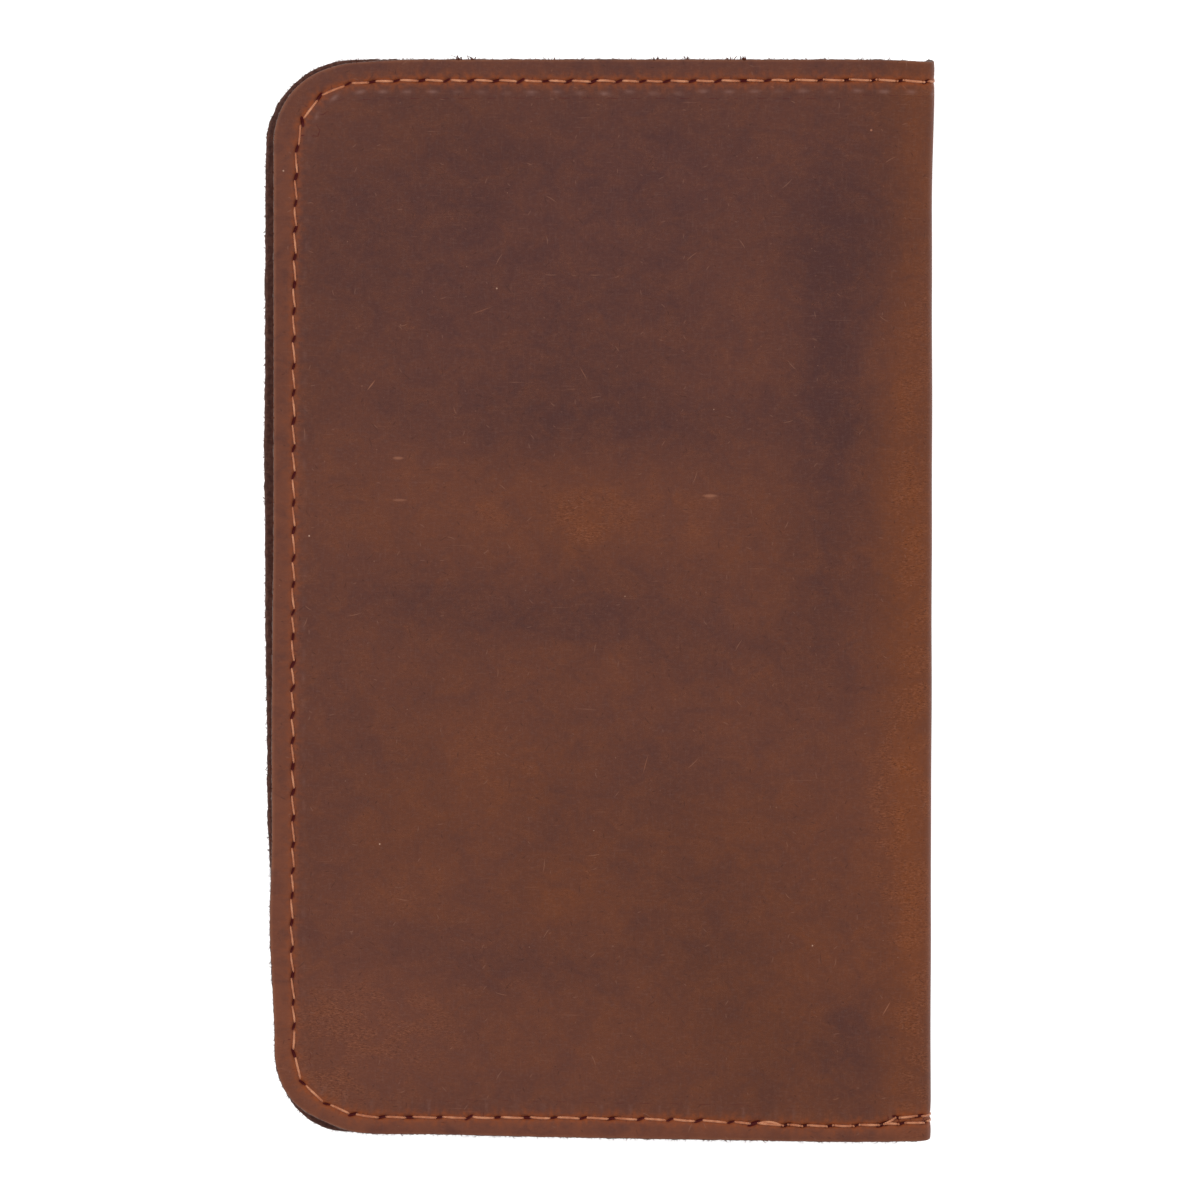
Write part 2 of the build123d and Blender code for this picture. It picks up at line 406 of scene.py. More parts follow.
def stitch_relief(u, v, depth):
    """The seam's press into a surface: (depth n, place in the nearest slit's frame, how pulled it is)."""
    off = inset_of(u, v) - seam_inset(u, v)
    over_spine = (u > OVERLAP[0][0]) & (u < OVERLAP[-1][0]) & (v < 0)
    second = np.where(over_spine, np.abs(v - SECOND_LINE), 99.0)
    off_line = np.minimum(np.abs(off), second)
    along, across, gap = near_holes(u, v)
    channel = depth * (0.65 * bump(off_line, 0.62) + 0.35 * bump(off_line, 1.5))
    slit = bump(along, SLIT_HALF) * bump(across, SLIT_WIDE * 1.15)
    turn = np.arctan2(across, along)
    pucker = bump(gap - 1.5, 0.9) * (0.5 + 0.5 * np.cos(6 * turn + 1.3)) * (gap < 4)
    n = channel + 0.7 * slit + 0.07 * pucker
    held = columns(np.clip(along, -4, 4), np.clip(across, -4, 4))
    return n, held, np.clip(bump(off_line, 0.95) + 0.4 * pucker, 0, 1)


def waves(u, v, size, amount, seed):
    """Slow waves over the sheet: a few sines in mixed directions."""
    local = np.random.default_rng(seed)
    total = np.zeros_like(u, dtype=float)
    count = 7
    for _ in range(count):
        direction = local.uniform(0, math.pi)
        length = size * local.uniform(0.6, 1.6)
        phase = local.uniform(0, 2 * math.pi)
        total += np.sin((u * math.cos(direction) + v * math.sin(direction)) * 2 * math.pi / length + phase)
    return amount * total / count


# ---- solids from the sheet


def add_to_scene(name, data):
    thing = bpy.data.objects.new(name, data)
    bpy.context.scene.collection.objects.link(thing)
    return thing


def new_mesh(name, points, faces, material_index, materials, attributes):
    """A mesh object from arrays: points in millimetres, groups of faces, vector attributes on points."""
    mesh = bpy.data.meshes.new(name)
    mesh.vertices.add(len(points))
    mesh.vertices.foreach_set("co", (np.asarray(points) * MM).astype(np.float32).ravel())
    corners = np.concatenate([group.ravel() for group in faces])
    sizes = np.concatenate([np.full(len(group), group.shape[1]) for group in faces])
    starts = np.concatenate([[0], np.cumsum(sizes)[:-1]])
    mesh.loops.add(len(corners))
    mesh.loops.foreach_set("vertex_index", corners.astype(np.int32))
    mesh.polygons.add(len(sizes))
    mesh.polygons.foreach_set("loop_start", starts.astype(np.int32))
    mesh.polygons.foreach_set("material_index", np.asarray(material_index, np.int32))
    mesh.polygons.foreach_set("use_smooth", np.ones(len(sizes), bool))
    mesh.update(calc_edges=True)
    mesh.validate()
    for key, values in attributes.items():
        attribute = mesh.attributes.new(key, "FLOAT_VECTOR", "POINT")
        attribute.data.foreach_set("vector", np.asarray(values, np.float32).ravel())
    for material in materials:
        mesh.materials.append(material)
    return add_to_scene(name, mesh)


def rim_edges(triangles):
    """Edges that only one triangle has, in that triangle's direction."""
    edges = np.concatenate([triangles[:, [0, 1]], triangles[:, [1, 2]], triangles[:, [2, 0]]])
    key = np.sort(edges, axis=1)
    _, first, count = np.unique(key, axis=0, return_index=True, return_counts=True)
    return edges[first[count == 1]]


def on_lines(u, lines):
    """Whether each u is on one of some lines across the sheet."""
    return (np.abs(np.asarray(u)[..., None] - np.asarray(lines)) < 1e-3).any(axis=-1)


def slab(name, points, triangles, top, bottom, describe, materials, joints_at=(), rows=5):
    """A closed piece of leather: its two faces and the walls between them.

    top and bottom give a face's depth n, and describe gives its attributes. joints_at are the u of the lines
    where the piece meets the next piece of the same sheet, where shading has to run on.
    """
    used, triangles = np.unique(triangles, return_inverse=True)
    triangles = triangles.reshape(-1, 3)
    u, v = points[used].T
    a, b, c = (points[used][triangles[:, k]] for k in range(3))
    (bu, bv), (cu, cv) = (b - a).T, (c - a).T
    backward = bu * cv - bv * cu < 0
    triangles[backward] = triangles[backward][:, ::-1]
    count = len(u)
    n_top, n_bottom = top(u, v), bottom(u, v)
    rim = rim_edges(triangles)
    rim_points = np.unique(rim)
    ru, rv = u[rim_points], v[rim_points]
    gu, gv = inward_at(ru, rv)
    at_joint = on_lines(ru, joints_at)
    us, vs, ns = [u, u], [v, v], [n_top, n_bottom]
    for row in range(1, rows):
        share = row / rows
        shaggy = 0.3 * share**2 * np.clip(waves(ru, rv, 4.5, 2.2, 40 + row), 0, 1) ** 2
        swell = (0.07 * math.sin(math.pi * share) + shaggy + 0.05 * rng.normal(0, 1, len(ru))) * ~at_joint
        us.append(ru - gu * swell)
        vs.append(rv - gv * swell)
        ns.append(n_top[rim_points] + share * (n_bottom[rim_points] - n_top[rim_points]))
    us, vs, ns = np.concatenate(us), np.concatenate(vs), np.concatenate(ns)
    rank = np.searchsorted(rim_points, rim)
    levels = [rim] + [2 * count + k * len(ru) + rank for k in range(rows - 1)] + [rim + count]
    walls = [np.concatenate([over[:, ::-1], under], axis=1) for over, under in zip(levels, levels[1:])]
    faces = [triangles, triangles[:, ::-1] + count] + walls
    index = np.concatenate([
        np.zeros(len(triangles)),
        np.full(len(triangles), 2),
        np.full(len(rim) * rows, 1),
    ])
    thing = new_mesh(name, place(us, vs, ns), faces, index, materials, describe(us, vs, ns))
    if len(joints_at):
        carry_normals(thing, us, joints_at, len(triangles), top, bottom, vs)
    return thing


def carry_normals(thing, us, lines, face_count, top, bottom, vs):
    """Gives both faces their true normals along the lines where two pieces of one sheet meet."""
    mesh = thing.data
    corners = np.zeros(len(mesh.loops), np.int32)
    mesh.loops.foreach_get("vertex_index", corners)
    faces = 2 * face_count * 3
    held = corners[:faces]
    on_line = on_lines(us[held], lines)
    step = 0.2
    normals = np.zeros((len(corners), 3))
    is_top = np.arange(faces) < face_count * 3
    for face, flag, sign in ((top, is_top, 1.0), (bottom, ~is_top, -1.0)):
        pick = np.nonzero(on_line & flag)[0]
        u, v = us[held[pick]], vs[held[pick]]
        along = place(u + step, v, face(u + step, v)) - place(u - step, v, face(u - step, v))
        across = place(u, v + step, face(u, v + step)) - place(u, v - step, face(u, v - step))
        normal = np.cross(along, across)
        normals[pick] = sign * normal / np.linalg.norm(normal, axis=1)[:, None]
    sharp = mesh.attributes.new("sharp_edge", "BOOLEAN", "EDGE")
    ends = np.zeros(len(mesh.edges) * 2, np.int32)
    mesh.edges.foreach_get("vertices", ends)
    sharp.data.foreach_set("value", on_lines(us[ends.reshape(-1, 2)], lines).all(axis=1))
    mesh.normals_split_custom_set([tuple(n) for n in normals])


# ---- what the leather's surface remembers

# Soft patches on the back cover: (x, y, half width, half height, turn in degrees, lighter, warmer). The front
# cover has the same ones, turned end for end.
PATCHES = (
    (0, 17, 48, 12, -4, 0.6, 0.4),
    (5, 37, 50, 7, 0, -0.5, -0.2),
    (-40, 70, 22, 14, 0, -0.4, -0.1),
    (-57, 12, 9, 14, 0, 0.35, 0),
    (60, 85, 7, 30, 0, -0.55, -0.2),
    (60, -40, 7, 16, 0, 0.5, 0.3),
    (17, -47, 24, 11, 0, -0.3, 0.2),
    (-32, -86, 40, 16, 0, 0.75, 0.1),
    (30, -80, 40, 30, 0, 0, 0.45),
    (-2, 16, 7, 7, 0, 0.5, 0.6),
    (-52, 12, 14, 30, 0, 0.3, 0.2),
    (4, -13, 24, 8, 0, 0.35, 0.35),
    (-18, -36, 20, 10, 15, 0.55, 0.5),
    (-38, -60, 12, 8, 0, 0.5, 0.35),
    (-8, -62, 10, 8, 0, 0.4, 0.5),
    (20, -44, 26, 12, 0, 0.25, 0.2),
    (45, -60, 22, 40, 0, 0.35, 0.3),
    (64, 0, 6, 130, 0, 0.5, 0.75),
    (66, -70, 4, 60, 0, 0.3, 0.1),
    (24, -80, 14, 22, 0, -0.25, 0),
    (60, -8, 5, 30, 0, -0.2, 0),
    (48, 50, 7, 55, 0, -0.75, -0.5),
    (52, -90, 5, 9, 0, -0.7, -0.6),
    (-10, -4, 45, 6, -10, -0.6, -0.3),
    (12, -38, 14, 7, 0, -0.35, -0.2),
    (-20, -76, 26, 8, -4, -0.55, -0.3),
    (-12, 70, 52, 40, 0, -0.35, -0.55),
    (20, 90, 30, 18, 0, -0.25, -0.3),
    (-45, 100, 14, 10, 20, 0.15, 0.1),
    (30, 75, 14, 20, 0, 0.12, 0.1),
    (-62, -100, 16, 14, 0, 0.5, 0.3),
    (60, 104, 12, 8, 0, 0.15, 0.2),
    (-40, -46, 11, 8, 0, 0.45, 0.3),
    (-28, -29, 10, 7, 0, 0.3, 0.2),
    (60, 37, 5, 14, 0, 0.4, 0.2),
    (-41, 104, 12, 5, 0, -0.25, 0),
    (60, -79, 6, 9, 0, -0.15, 0),
)


def tone_of(u, v):
    """How light and how warm the leather is, from rubbing and from being folded."""
    fold = bump(u - U_SPINE, HALF_FOLD * 0.9)
    light = waves(u, v, 60, 0.35, 3) + 0.7 * fold
    warm = waves(u, v, 75, 0.3, 4) + 0.5 * fold
    for x, y, wide, high, turn, lighter, warmer in PATCHES:
        for du, dv in ((u - x, v - y), (2 * U_SPINE - u - x, -v - y)):
            shape = blot(du, dv, math.radians(turn), wide, high)
            light = light + lighter * shape
            warm = warm + warmer * shape
    return light, warm


def feed_marks(u, v):
    """Faint dashes that the machine's feed left inside the seam, one to a stitch, and the foot's creases."""
    local = np.random.default_rng(5)
    total = np.zeros_like(u)
    for hu, hv, heading, side in HOLES:
        c, s = math.cos(heading), math.sin(heading)
        long, wide, strength = 0.95, 0.36, 1.15
        if side < 0:
            strength = 0.3
        elif hv < 0:
            long, wide, strength = 0.28, 1.5, 0.32
        strength *= local.uniform(0.3, 1.1)
        gap = FEED_INSET + local.normal(0, 0.12)
        mu, mv = hu + s * gap + 2.2 * c, hv - c * gap + 2.2 * s
        near = np.nonzero((np.abs(u - mu) < 3.5) & (np.abs(v - mv) < 3.5))[0]
        total[near] += strength * blot(u[near] - mu, v[near] - mv, heading, long, wide)
    return np.clip(total, 0, 1)


def outer_top(u, v):
    pressed, _, _ = stitch_relief(u, v, 0.25)
    inset = inset_of(u, v)
    edge = EDGE_ROUND * rounding(inset, EDGE_ROUND)
    droop = 0.12 * rounding(inset, 2.2)
    swell = 0.06 + waves(u, v, 34, 0.09, 8)
    return pressed + edge + droop + np.maximum(swell, 0) + 0.05 * feed_marks(u, v)


def outer_bottom(u, v):
    single = np.abs(u - U_SPINE) < SINGLE_HALF
    pressed, _, _ = stitch_relief(u, v, 0.22)
    return LEATHER - 0.12 * rounding(inset_of(u, v), 0.3) - pressed * single


def describe(u, v, n):
    """Attributes for the shaders: where a point is on the sheet, its tone, and how the seam marked it."""
    inset = inset_of(u, v)
    from_edge = inset + (SEAM_INSET - seam_inset(u, v)) * smooth(inset / 3)  # SEAM_INSET all along the seam
    _, held, pulled = stitch_relief(u, v, 0.3)
    light, warm = tone_of(u, v)
    marks = feed_marks(u, v)
    at_end = smooth((np.abs(v) - HALF_HEIGHT + CORNER) / 8)
    pulled = pulled * (0.62 + 0.38 * at_end)
    rubbed = np.where(v > 0, 1 - 0.85 * at_end, 1 - 0.2 * at_end) * (0.75 + 0.25 * smooth(-v / 60))
    return {
        "sheet": columns(u, v, n),
        "tone": columns(light, warm, from_edge),
        # sewn: painted rim shade (nought on the outer leather, set on the sleeves), how pulled the leather
        # is, the feed's marks
        "sewn": columns(np.zeros_like(u), pulled, marks),
        "slit": columns(held[:, 0], held[:, 1], rubbed),
    }


# ---- materials

LIGHT = 1.12  # how brightly this studio lights a level surface
VEIL = 0.012  # what the leather's own gloss adds to its colour there


def shown(red, green, blue):
    """The base colour that a level surface needs to look like these 8-bit display values in this studio."""
    channels = []
    for c in (red, green, blue):
        c = c / 255
        linear = c / 12.92 if c <= 0.04045 else ((c + 0.055) / 1.055) ** 2.4
        channels.append(max((linear - VEIL) / LIGHT, 0.002))
    return (*channels, 1.0)


def scaled(color, times):
    return (*(min(1.0, times * c) for c in color[:3]), 1.0)


class Nodes:
    """Short ways to build one material's node tree. Its colour is built up in self.color."""

    def __init__(self, name):
        self.material = bpy.data.materials.new(name)
        self.material.use_nodes = True
        self.tree = self.material.node_tree
        self.shader = self.tree.nodes["Principled BSDF"]
        self.color = None

    def set(self, node, name, value):
        if isinstance(value, bpy.types.NodeSocket):
            self.tree.links.new(value, node.inputs[name])
        else:
            node.inputs[name].default_value = value

    def node(self, kind, settings=None, **inputs):
        """A new node. Its inputs go by name, or by number as i0, i1 and so on."""
        node = self.tree.nodes.new(kind)
        for key, value in (settings or {}).items():
            setattr(node, key, value)
        for key, value in inputs.items():
            self.set(node, int(key[1:]) if key[1:].isdigit() else key, value)
        return node

    def attribute(self, name):
        return self.node("ShaderNodeAttribute", {"attribute_name": name}).outputs["Vector"]

    def split(self, vector):
        return self.node("ShaderNodeSeparateXYZ", i0=vector).outputs[:3]

    def join(self, x, y, z):
        return self.node("ShaderNodeCombineXYZ", X=x, Y=y, Z=z).outputs[0]

    def math(self, operation, a, b=0.0, c=0.0, clamp=False):
        settings = {"operation": operation, "use_clamp": clamp}
        return self.node("ShaderNodeMath", settings, i0=a, i1=b, i2=c).outputs[0]

    def times(self, a, b):
        return self.math("MULTIPLY", a, b)

    def plus(self, a, b):
        return self.math("ADD", a, b)

    def sway(self, value, noise, amount, clamp=False):
        """value moved up and down by a noise, over a range of amount."""
        return self.math("ADD", value, self.math("MULTIPLY_ADD", noise, amount, -amount / 2), clamp=clamp)

    def stretch(self, vector, scale, turn=0.0, shift=(0, 0, 0)):
        return self.node(
            "ShaderNodeMapping", Vector=vector, Scale=scale, Rotation=(0, 0, turn), Location=shift
        ).outputs[0]

    def noise(self, vector, scale, detail=3.0, roughness=0.55, distortion=0.0):
        return self.node(
            "ShaderNodeTexNoise",
            Vector=vector, Scale=scale, Detail=detail, Roughness=roughness, Distortion=distortion,
        ).outputs[0]

    def cells(self, vector, scale):
        return self.node("ShaderNodeTexVoronoi", Vector=vector, Scale=scale)

    def step(self, value, low, high, out_low=0.0, out_high=1.0):
        """value taken from low..high to out_low..out_high, smoothly and clamped."""
        return self.node(
            "ShaderNodeMapRange", {"interpolation_type": "SMOOTHSTEP"},
            i0=value, i1=low, i2=high, i3=out_low, i4=out_high,
        ).outputs[0]

    def mix(self, share, a, b):
        settings = {"data_type": "RGBA", "clamp_factor": True}
        return self.node("ShaderNodeMix", settings, i0=share, i6=a, i7=b).outputs[2]

    def tint(self, share, display, amount=1.0):
        """Mixes a display colour into the colour so far, by share, at most by amount."""
        if amount < 1.0:
            share = self.times(share, amount)
        self.color = self.mix(share, self.color, shown(*display))

    def bump(self, height, distance, strength):
        distance = distance * MM
        return self.node("ShaderNodeBump", Height=height, Distance=distance, Strength=strength).outputs[0]

    def flecks(self, flat, scale, half, wide, keep, seed):
        """Short marks at random angles, slightly curved: one in each Voronoi cell, if it is kept."""
        moved = self.stretch(flat, (1, 1, 1), 0.0, (seed, seed * 0.7, 0))
        cell = self.cells(moved, scale).outputs
        away = self.node("ShaderNodeVectorMath", {"operation": "SUBTRACT"}, i0=moved, i1=cell["Position"])
        chance, angle, size = self.split(cell["Color"])
        turned = self.node(
            "ShaderNodeVectorRotate", {"rotation_type": "Z_AXIS"},
            Vector=away.outputs[0], Angle=self.times(angle, 2 * math.pi),
        )
        x, y, _ = self.split(turned.outputs[0])
        x = self.math("DIVIDE", x, self.math("MULTIPLY_ADD", size, half, 0.4 * half))
        y = self.math("DIVIDE", self.math("MULTIPLY_ADD", self.times(x, x), 0.12 * half, y), wide)
        gap = self.plus(self.times(x, x), self.times(y, y))
        return self.times(self.step(gap, 1.0, 0.2), self.math("LESS_THAN", chance, keep))

    def finish(self, roughness, normal, **uniform):
        for name, value in (("Base Color", self.color), ("Roughness", roughness), ("Normal", normal)):
            self.set(self.shader, name, value)
        for key, value in uniform.items():
            self.shader.inputs[key.replace("_", " ")].default_value = value
        return self.material


def grain_brown(m, flat, light, warm, patch, mottle, fine):
    """The hide's own brown, lighter and warmer where it is rubbed, under a pale bloom of wax."""
    cloud = m.noise(flat, 0.05, 4, 0.6, 0.4)
    tone = m.math("MULTIPLY_ADD", light, 0.36, 0.36)
    for noise, amount in ((cloud, 0.4), (patch, 0.6), (mottle, 0.5)):
        tone = m.sway(tone, noise, amount)
    tone = m.sway(tone, fine, 0.2, clamp=True)
    heat = m.sway(m.math("MULTIPLY_ADD", warm, 0.38, 0.42), patch, 0.6, clamp=True)
    dark = m.mix(heat, shown(80, 51, 49), shown(86, 52, 38))
    pale = m.mix(heat, shown(112, 70, 60), shown(126, 69, 38))
    m.color = m.mix(tone, dark, pale)
    bloom = m.noise(m.stretch(flat, (0.8, 1.7, 1), 0.12), 1.3, 4, 0.7, 0.5)
    m.tint(m.step(bloom, 0.46, 0.80, 0.0, 0.11), (150, 120, 112))
    weft = m.noise(m.stretch(flat, (2.6, 0.32, 1), 0.03), 1.0, 3, 0.6)
    m.tint(m.step(weft, 0.52, 0.75, 0.0, 0.07), (146, 112, 100))


def grain_creases(m, flat, light, patch):
    """Small creases painted as a line of shade with a painted highlight along one side, and a fine crinkle
    where the leather is rubbed.
    """
    bent = m.noise(m.stretch(flat, (0.55, 1.3, 1), -0.15, (9, 4, 0)), 1.0, 3, 0.6, 1.6)
    # The first row paints the creases' shade and the second a highlight along their one side.
    for level, width, low, display, amount in (
        (0.5, 0.014, 0.46, (70, 40, 33), 0.5),
        (0.535, 0.012, 0.44, (148, 96, 72), 0.4),
    ):
        off = m.math("ABSOLUTE", m.math("SUBTRACT", bent, level))
        m.tint(m.times(m.step(off, width, 0.0), m.step(patch, low, low + 0.2)), display, amount)
    crinkle = m.noise(m.stretch(flat, (1.0, 3.2, 1), 0.08, (3, 8, 0)), 1.4, 3, 0.65, 0.8)
    where = m.times(m.step(light, 0.3, 0.85), m.step(patch, 0.35, 0.58))
    m.tint(m.times(where, m.step(crinkle, 0.52, 0.64, 0.0, 0.42)), (152, 96, 72))
    m.tint(m.times(where, m.step(crinkle, 0.48, 0.36, 0.0, 0.5)), (66, 38, 30))


def grain_by_seam(m, inset, rubbed, patch, mottle):
    """The rubbed margin outside the seam, the leather that the thread pulls, the rim, the feed's marks and
    painted shade on a sleeve's rim.
    """
    painted_rim_shade, pulled, feed = m.split(m.attribute("sewn"))
    margin = m.times(m.step(inset, SEAM_INSET + 0.6, SEAM_INSET - 0.8), rubbed)
    m.tint(m.times(margin, m.step(patch, 0.3, 0.62, 0.15, 0.6)), (124, 73, 55))
    m.tint(m.times(pulled, m.step(mottle, 0.35, 0.62, 0.3, 0.8)), (146, 76, 42))
    m.tint(m.times(m.step(inset, 0.7, 0.15), m.step(patch, 0.25, 0.6, 0.1, 0.42)), (140, 90, 66))
    m.tint(feed, (150, 112, 102), 0.45)
    # Painted shade: near its cut edges a sleeve's rim is darkened, standing in for the shade between the two
    # covers.
    rim_shade_colour = m.mix(m.step(mottle, 0.35, 0.65), shown(60, 36, 32), shown(93, 62, 54))
    m.color = m.mix(m.times(painted_rim_shade, 0.85), m.color, rim_shade_colour)


def grain_scratches(m, flat):
    """Long thin streaks, each where its own mask lets it show, and specks, pores, nicks and hairlines."""
    for turn, seed, amount in ((0.35, 3.0, 0.3), (-0.9, 17.0, 0.26), (1.45, 31.0, 0.26), (0.05, 47.0, 0.24)):
        streak = m.noise(m.stretch(flat, (0.11, 4.2, 1), turn, (seed, seed, 0)), 1.0, 2, 0.5)
        mask = m.noise(m.stretch(flat, (0.08, 0.08, 1), turn, (seed, 5, 0)), 1.0, 3, 0.6)
        line = m.times(m.step(streak, 0.665, 0.75), m.step(mask, 0.48, 0.7))
        m.tint(line, (158, 112, 92), amount)
    for scale, size, keep, display, amount in (
        (0.12, 0.028, 0.55, (190, 152, 130), 0.9),
        (0.25, 0.045, 0.6, (150, 110, 92), 0.5),
        (0.42, 0.08, 0.8, (134, 94, 80), 0.35),
        (0.40, 0.08, 0.7, (66, 40, 35), 0.4),
    ):
        cell = m.cells(m.stretch(flat, (1, 1, 1), 0.3, (scale * 90, 7, 0)), scale).outputs
        chosen = m.math("GREATER_THAN", m.split(cell["Color"])[0], keep)
        m.tint(m.times(m.step(cell["Distance"], size, size * 0.4), chosen), display, amount)
    for scale, half, wide, keep, seed, display, amount in (
        (0.10, 1.3, 0.10, 0.14, 11.0, (150, 106, 86), 0.40),
        (0.22, 0.6, 0.12, 0.16, 37.0, (140, 100, 84), 0.36),
        (0.30, 0.5, 0.16, 0.22, 59.0, (68, 42, 36), 0.42),
        (0.14, 1.0, 0.15, 0.20, 83.0, (70, 44, 38), 0.40),
    ):
        m.tint(m.flecks(flat, scale, half, wide, keep, seed), display, amount)


# Marks on the back cover: (x, y, half length, half width, turn in degrees, strength)
MARKS = (
    (23.2, 21.6, 1.9, 0.42, 0, 0.36),
    (23.4, 21.4, 1.5, 0.7, 0, 0.14),
    (-41.4, 29.4, 1.4, 0.42, 0, 0.42),
    (-41.1, 20.7, 1.9, 0.34, 0, 0.3),
    (-47.0, 44.5, 1.6, 0.16, 52, 0.5),
    (60.0, -84.5, 2.0, 0.14, 60, 0.5),
    (56.3, 97.4, 0.3, 0.3, 0, 0.8),
    (10.0, -34.0, 2.4, 0.12, 75, 0.3),
    (-24.0, 60.0, 2.8, 0.12, 20, 0.25),
    (-3.0, 47.0, 1.8, 0.12, -60, 0.3),
)


def grain_marks(m, u, v):
    for x, y, half, wide, turn, strength in MARKS:
        c, s = math.cos(math.radians(turn)), math.sin(math.radians(turn))
        du, dv = m.math("SUBTRACT", u, x), m.math("SUBTRACT", v, y)
        along = m.plus(m.times(du, c / half), m.times(dv, s / half))
        across = m.plus(m.times(du, -s / wide), m.times(dv, c / wide))
        away = m.plus(m.times(along, along), m.times(across, across))
        m.tint(m.step(away, 1.0, 0.0), (172, 116, 90), strength)


def grain_leather():
    """The waxed outer side: brown that lightens and reddens where it is rubbed, folded or sewn."""
    m = Nodes("leather_grain")
    u, v, _ = m.split(m.attribute("sheet"))
    flat = m.join(u, v, 0.0)
    light, warm, inset = m.split(m.attribute("tone"))
    slit_along, slit_across, rubbed = m.split(m.attribute("slit"))
    patch = m.noise(m.stretch(flat, (1, 1.25, 1), 0.5, (40, 10, 0)), 0.16, 5, 0.62, 0.8)
    mottle = m.noise(flat, 0.9, 4, 0.65)
    fine = m.noise(flat, 3.4, 3, 0.6)
    grain_brown(m, flat, light, warm, patch, mottle, fine)
    grain_creases(m, flat, light, patch)
    grain_by_seam(m, inset, rubbed, patch, mottle)
    grain_scratches(m, flat)
    grain_marks(m, u, v)
    # Painted shade: the needle slits are painted a dark red brown, on top of the shade of their pits.
    long_way = m.math("POWER", m.math("ABSOLUTE", m.math("DIVIDE", slit_along, SLIT_HALF)), 3.0)
    wide_way = m.math("DIVIDE", slit_across, SLIT_WIDE)
    m.tint(m.step(m.plus(long_way, m.times(wide_way, wide_way)), 1.3, 0.6), (82, 20, 8))
    height = m.math("MULTIPLY_ADD", fine, 0.5, m.times(mottle, 0.5))
    roughness = m.math("MULTIPLY_ADD", mottle, 0.22, 0.50)
    return m.finish(roughness, m.bump(height, 0.12, 0.35), Specular_IOR_Level=0.2)


def suede(name, brown, shift):
    """The rough flesh side: short matted fibres, paler where they are brushed."""
    m = Nodes(name)
    flat = m.attribute("sheet")
    nap = m.noise(m.stretch(flat, (1, 1, 1), 0.0, (shift, shift, 0)), 0.12, 4, 0.6, 0.6)
    fibre = m.noise(m.stretch(flat, (2.2, 5.5, 3), 0.5), 1.0, 4, 0.7, 0.8)
    m.color = m.mix(m.step(nap, 0.3, 0.7), brown, scaled(brown, 1.5))
    m.color = m.mix(m.step(fibre, 0.62, 0.4, 0.0, 0.45), m.color, scaled(brown, 0.5))
    normal = m.bump(fibre, 0.25, 0.6)
    return m.finish(0.93, normal, Specular_IOR_Level=0.12, Sheen_Weight=0.25, Sheen_Roughness=0.6)


def cut_edge():
    """The raw edge: layers of fibre, darkened by handling."""
    m = Nodes("leather_cut_edge")
    sheet = m.attribute("sheet")
    layer = m.noise(m.stretch(sheet, (1.1, 1.1, 7.0)), 1.0, 4, 0.7, 0.6)
    fibre = m.noise(sheet, 6.0, 3, 0.7)
    m.color = m.mix(m.step(layer, 0.35, 0.68), shown(64, 43, 36), shown(118, 80, 62))
    m.tint(m.step(fibre, 0.6, 0.35, 0.0, 0.5), (38, 25, 21))
    return m.finish(0.9, m.bump(m.plus(layer, fibre), 0.2, 0.7), Specular_IOR_Level=0.15, Sheen_Weight=0.15)


def thread_material():
    """Waxed twisted thread, light orange tan, with painted shade between its strands."""
    m = Nodes("thread_waxed")
    strand = m.attribute("strand")
    tint = m.noise(strand, 0.6, 3, 0.6)
    m.color = m.mix(m.step(tint, 0.3, 0.7), shown(176, 104, 70), shown(218, 150, 112))
    # Painted shade in the grooves between the twisted strands.
    m.tint(m.step(m.split(strand)[1], 0.5, 0.0, 0.0, 0.5), (140, 74, 44))
    fibre = m.noise(m.stretch(strand, (14, 3, 1)), 1.0, 2, 0.6)
    return m.finish(0.55, m.bump(fibre, 0.05, 0.5), Specular_IOR_Level=0.3, Sheen_Weight=0.2)


def fibre_material():
    m = Nodes("loose_fibres")
    strand = m.attribute("strand")
    m.color = m.mix(m.noise(strand, 1.7, 2, 0.5), shown(52, 25, 18), shown(106, 55, 38))
    return m.finish(0.85, m.bump(m.noise(strand, 9.0, 2, 0.5), 0.02, 0.4), Specular_IOR_Level=0.15)


GRAIN = grain_leather()
EDGE = cut_edge()
FLESH = suede("leather_flesh", shown(104, 68, 50), 0)
SLEEVE_FLESH = suede("sleeve_flesh", shown(98, 64, 48), 30)
THREAD = thread_material()
FIBRE = fibre_material()

# ---- the outer leather


def joint_lines():
    """u of the two lines where the three leather pieces meet, midway between the outer fold lines."""
    spots = np.interp([math.radians(60), math.radians(120)], FOLD_ANGLE[::-1], FOLD_Q[::-1])
    front, back = U_SPINE + spots[0], U_SPINE + spots[1]
    return back, front


U_JOIN_BACK, U_JOIN_FRONT = joint_lines()


def blend_ends(joint, joint_u):
    """A fold line's middle, and how far to either side a piece bends, clear of the next piece."""
    pivot = np.array(joint["pos_m"]) / MM
    away = pivot - np.array([X_TANGENT, 0, R_OUT])
    chord = np.array([-away[2], 0, away[0]]) / np.hypot(away[0], away[2])
    reach = 99.0
    for u in joint_u:
        for n in (0.0, LEATHER):
            reach = min(reach, abs((place(u, 0.0, n) - pivot) @ chord))
    return pivot * MM, chord * reach * MM


JOINTS = {j["name"]: j for j in frame["joints"]}


def bend(thing, joint_name, lines):
    """Bakes a piece's transform into its mesh. The fold line's middle and reach are worked out but not used,
    so the piece is not blended across the fold.
    """
    joint = JOINTS[joint_name]
    pivot, reach = blend_ends(joint, lines)
    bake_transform(thing)


BENDS = {
    "front": ("front_fold", (U_JOIN_FRONT,)),
    "spine": ("middle_fold", (U_JOIN_FRONT, U_JOIN_BACK)),
    "back": ("back_fold", (U_JOIN_BACK,)),
}


